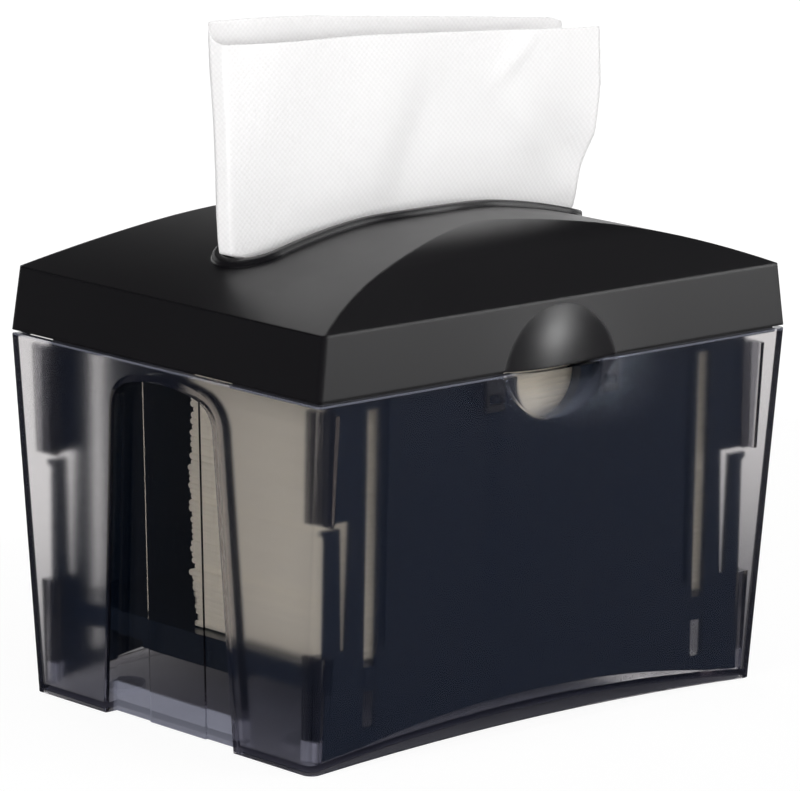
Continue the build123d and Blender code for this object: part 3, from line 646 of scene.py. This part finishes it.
def makePack(p):
    # each row is the pack's outline at one height; it swells and nips in once for each folded napkin:
    # inset = depth * (1 - sqrt(1 - (2 phase - 1)^2)), deeper at the folds than at the cut ends
    random = np.random.default_rng(p["seed"])
    layer = np.repeat(np.arange(p["layers"]), len(p["phases"]))
    phase = np.tile(p["phases"], p["layers"])
    pitch = (p["high"] - p["low"]) / p["layers"]
    height = p["low"] + (layer + phase) * pitch
    slipX = random.normal(0, p["slip"], p["layers"])[layer]
    slipY = random.normal(0, p["slip"], p["layers"])[layer]
    long, short = p["leanLong"], p["leanShort"]
    lean = long["size"] * np.sin(height / long["wave"] + long["shift"])
    lean = lean + short["size"] * np.sin(height / short["wave"])
    rounding = 1 - np.sqrt(np.clip(1 - (2 * phase - 1) ** 2, 0, 1))
    halfX, halfY = p["halfLength"], (p["back"] - p["front"]) / 2
    middle = (p["back"] + p["front"]) / 2
    r = p["corner"]
    outline, normal = [], []
    for cornerX, cornerY, start, count, toX, toY in (
        (1, 1, 0, p["perSide"], -1, 1),
        (-1, 1, 1, p["perEnd"], -1, -1),
        (-1, -1, 2, p["perSide"], 1, -1),
        (1, -1, 3, p["perEnd"], 1, 1),
    ):
        turn = math.pi / 2 * (start + np.linspace(0, 1, p["perCorner"]))
        direction = np.stack([np.cos(turn), np.sin(turn)], 1)
        centre = np.array([cornerX * (halfX - r), cornerY * (halfY - r)])
        outline.append(centre + r * direction)
        normal.append(direction)
        share = np.linspace(0, 1, count)[1:-1, None]
        after = np.array([toX * (halfX - r), toY * (halfY - r)])
        along = centre + (after - centre) * share + r * direction[-1]
        outline.append(along)
        normal.append(np.repeat(direction[-1:], len(along), 0))
    outline = np.concatenate(outline)
    normal = np.concatenate(normal)
    depth = p["cutDepth"] + (p["foldDepth"] - p["cutDepth"]) * np.abs(normal[:, 1])
    ripple = random.normal(0, 1, (p["layers"], p["ripples"]))
    position = np.linspace(0, 2 * np.pi, len(outline), endpoint=False)
    waves = sum(ripple[:, k : k + 1] * np.sin(position * (k + 1) + k) / (k + 3) for k in range(p["ripples"]))
    inset = rounding[:, None] * depth[None, :] - p["rippleDepth"] * waves[layer]
    foot = 1 - np.clip((height - p["footTo"]) / (p["fullFrom"] - p["footTo"]), 0, 1)[:, None]
    insetX = inset + p["footEnd"] * foot
    insetY = inset + p["footBack"] * foot * (normal[None, :, 1] > 0)
    x = outline[None, :, 0] - normal[None, :, 0] * insetX + slipX[:, None]
    y = middle + outline[None, :, 1] - normal[None, :, 1] * insetY + (slipY + lean)[:, None]
    z = np.repeat(height[:, None], len(outline), 1)
    d = p["droop"]
    droop = d["size"] * np.sin(position * d["perTurn"])[None, :] * np.sin(height / d["wave"])[:, None]
    offBottom = smoothStep(p["low"], p["low"] + d["within"], z)
    offTop = smoothStep(p["high"], p["high"] - d["within"], z)
    body = np.stack([x, y, z + droop * offBottom * offTop], -1)

    def cap(ring, level):
        centre = ring.mean(0)
        rows = centre + (ring - centre)[None] * np.array(p["capRings"])[:, None, None]
        rows[..., 2] = level
        return rows

    bottom = cap(body[0], p["low"] - p["capLift"])[::-1]
    top = cap(body[-1], p["high"] + p["capLift"])
    points = np.concatenate([bottom, body, top])
    return gridPiece("napkinPack", points, stackPaperPaintedWarm, wrapColumns=True, merge=True)


packPiece = makePack(pack)
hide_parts("napkin_pack")
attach(packPiece, "base")
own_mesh(packPiece)
print("pack made", len(packPiece.data.polygons))


# the plan's corners at each level, the top edge's height along the sheet, and the sheet's swells and waves
lead = {
    "columns": 260,
    "rows": 110,
    "bottom": 124.6,
    "thickness": 0.3,
    "levels": [124.6, 150.0, 152.4, 154.0, 159.0, 166.0, 178.0, 195.0, 213.0, 230.0],
    "frontRightX": [66.0, 69.6, 71.4, 72.6, 73.4, 75.2, 79.8, 81.8, 81.4, 81.4],
    "frontRightY": [-2.5, -3.6, -4.4, -5.0, -6.0, -6.8, -7.6, -7.2, -6.6, -6.4],
    "creaseX": [-64.0, -67.6, -69.6, -76.2, -76.8, -77.4, -78.2, -79.2, -80.6, -81.2],
    "creaseY": [-2.6, -3.8, -4.4, -4.8, -5.0, -5.2, -5.4, -5.6, -5.8, -5.8],
    "edgeX": [-66.0, -69.6, -71.2, -77.4, -78.0, -78.4, -78.8, -79.8, -81.0, -81.6],
    "edgeY": [-0.8, -0.4, -0.2, 0.0, 0.0, -0.2, -0.4, -0.4, 0.2, 0.8],
    "rearLeftX": [-64.0, -68.0, -70.0, -75.4, -76.0, -76.6, -77.2, -78.0, -79.2, -79.8],
    "rearLeftY": [0.0, 0.8, 1.4, 2.0, 2.2, 2.4, 2.6, 2.8, 3.2, 3.0],
    "rearRightX": [66.0, 69.6, 71.2, 72.6, 74.0, 76.6, 79.0, 80.6, 81.4, 81.8],
    "rearRightY": [-0.8, 0.2, 1.0, 1.4, 2.4, 4.0, 7.0, 9.8, 11.6, 12.8],
    "corners": ["frontRight", "crease", "edge", "rearLeft", "rearRight"],
    "stops": [0.0, 0.44, 0.5, 0.53, 1.0],
    "topU": [0.0, 0.278, 0.347, 0.408, 0.44, 0.481, 0.505, 0.53, 0.6, 0.66, 0.985, 1.0],
    "topZ": [213.7, 219.8, 220.4, 221.0, 221.5, 222.4, 226.2, 228.0, 227.3, 225.8, 215.2, 213.4],
    "mean": [1 / 9, 2 / 9, 3 / 9, 2 / 9, 1 / 9],
    "freeFrom": 150.0,
    "freeTo": 172.0,
    "frontTo": 0.4,
    "rearFrom": 0.46,
    "bow": 1.2,
    "bowHalf": 78.0,
    "swells": [
        {"size": 2.6, "x": 67.5, "z": 173.0, "lean": -0.5, "wide": 13.0, "tall": 13.0},
        {"size": -1.5, "x": 45.6, "z": 186.0, "lean": -0.9, "wide": 9.0, "tall": 20.0},
        {"size": -1.0, "x": 43.0, "z": 207.0, "lean": 0.9, "wide": 4.5, "tall": 8.0},
        {"size": 1.5, "x": -0.6, "z": 184.0, "lean": 0.35, "wide": 9.0, "tall": 22.0},
        {"size": 1.2, "x": 36.0, "z": 190.0, "lean": -0.1, "wide": 8.0, "tall": 15.0},
    ],
    "waves": [
        {"size": 0.7, "x": 21.0, "z": 33.0, "shift": 0.7},
        {"size": 0.4, "x": 9.5, "z": -15.0, "shift": 0.0},
    ],
    "rearWaves": 0.4,
    "hem": {"size": 0.35, "x": 6.3, "shift": 1.1, "from": 205.0, "to": 226.0},
}


def makeLead(s):
    # u runs along the sheet: right end, front leaf, crease, fold at the left, rear leaf, right end;
    # v runs up it. The plan at each height is a chain of straight legs, eased by a moving mean
    u = np.linspace(0, 1, s["columns"])
    v = np.linspace(0, 1, s["rows"])

    def eased(values):
        # the moving mean runs along the last axis; past each end the values go on turned about that end
        before = 2 * values[..., :1] - values[..., 2:0:-1]
        after = 2 * values[..., -1:] - values[..., -2:-4:-1]
        padded = np.concatenate([before, values, after], -1)
        return sum(weight * padded[..., k : k + s["columns"]] for k, weight in enumerate(s["mean"]))

    top = eased(np.interp(u, s["topU"], s["topZ"]))
    z = s["bottom"] + (top - s["bottom"])[None, :] * v[:, None]
    x = np.zeros_like(z)
    y = np.zeros_like(z)
    for k in range(len(s["stops"]) - 1):
        leg = (u >= s["stops"][k]) & (u <= s["stops"][k + 1])
        share = (u[leg] - s["stops"][k]) / (s["stops"][k + 1] - s["stops"][k])
        for plan, way in ((x, "X"), (y, "Y")):
            start = np.interp(z[:, leg], s["levels"], s[s["corners"][k] + way])
            end = np.interp(z[:, leg], s["levels"], s[s["corners"][k + 1] + way])
            plan[:, leg] = start + (end - start) * share
    x = eased(x)
    y = eased(y)
    # each swell is size * exp(-(off / wide)^2 - (rise / tall)^2), where rise = z - its z, and
    # off = x - its x - lean * rise; each wave is size * sin(x / its x + z / its z + shift)
    free = smoothStep(s["freeFrom"], s["freeTo"], z)
    front = 1 - smoothStep(s["frontTo"], s["rearFrom"], u)[None, :]
    push = -s["bow"] * np.sin(np.pi * np.clip((x + s["bowHalf"]) / (2 * s["bowHalf"]), 0, 1)) * front * free
    for w in s["swells"]:
        rise = z - w["z"]
        off = x - w["x"] - w["lean"] * rise
        push = push + w["size"] * np.exp(-((off / w["wide"]) ** 2) - (rise / w["tall"]) ** 2) * front
    for w in s["waves"]:
        wave = w["size"] * np.sin(x / w["x"] + z / w["z"] + w["shift"]) * free
        push = push + wave * (s["rearWaves"] + (1 - s["rearWaves"]) * front)
    hem = s["hem"]
    push = push + hem["size"] * np.sin(x / hem["x"] + hem["shift"]) * smoothStep(hem["from"], hem["to"], z)
    y = y + push
    step = np.hypot(np.diff(x[s["rows"] // 2]), np.diff(y[s["rows"] // 2]))
    along = np.concatenate([[0], np.cumsum(step)])
    uv = np.stack([np.repeat(along[None, :], s["rows"], 0), z], -1)
    points = np.stack([x, y, z], -1)
    piece = gridPiece("leadNapkin", points, sheetPaper, uv=uv)
    thick = piece.modifiers.new("ply", "SOLIDIFY")
    thick.thickness = s["thickness"] * mm
    thick.offset = 0
    return piece, along[-1]


leadPiece, leadRun = makeLead(lead)
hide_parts("lead_napkin")
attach(leadPiece, "cover")
print("lead napkin made, sheet run", round(leadRun), "mm")


spring = {
    "wire": 1.6,
    "low": 10.9,
    "high": 28.9,
    "lowRadius": 27.0,
    "highRadius": 20.0,
    "turns": 5,
    "stepsPerTurn": 64,
    "sides": 12,
}


def makeSpring(s):
    # a circle carried along a conical helix: radius and height both run evenly with the turned angle
    steps, sides = s["stepsPerTurn"] * s["turns"], s["sides"]
    angle = np.linspace(0, 2 * np.pi * s["turns"], steps)
    share = angle / angle[-1]
    radius = s["lowRadius"] + (s["highRadius"] - s["lowRadius"]) * share
    climb = (s["high"] - s["low"]) / angle[-1]
    out = np.stack([np.cos(angle), np.sin(angle), np.zeros(steps)], 1)
    line = out * radius[:, None]
    line[:, 2] = s["low"] + climb * angle
    run = np.stack([-radius * np.sin(angle), radius * np.cos(angle), np.full(steps, climb)], 1)
    run /= np.linalg.norm(run, axis=1)[:, None]
    side = np.cross(run, out)
    around = np.linspace(0, 2 * np.pi, sides, endpoint=False)
    ring = out[:, None] * np.cos(around)[None, :, None] + side[:, None] * np.sin(around)[None, :, None]
    tube = line[:, None] + ring * s["wire"] / 2
    start = np.repeat(line[:1, None], sides, 1)
    end = np.repeat(line[-1:, None], sides, 1)
    points = np.concatenate([start, tube, end])
    return gridPiece("liftSpring", points, springSteel, wrapColumns=True, merge=True)


springPiece = makeSpring(spring)
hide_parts("lift_spring")
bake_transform(springPiece)
print("spring made")
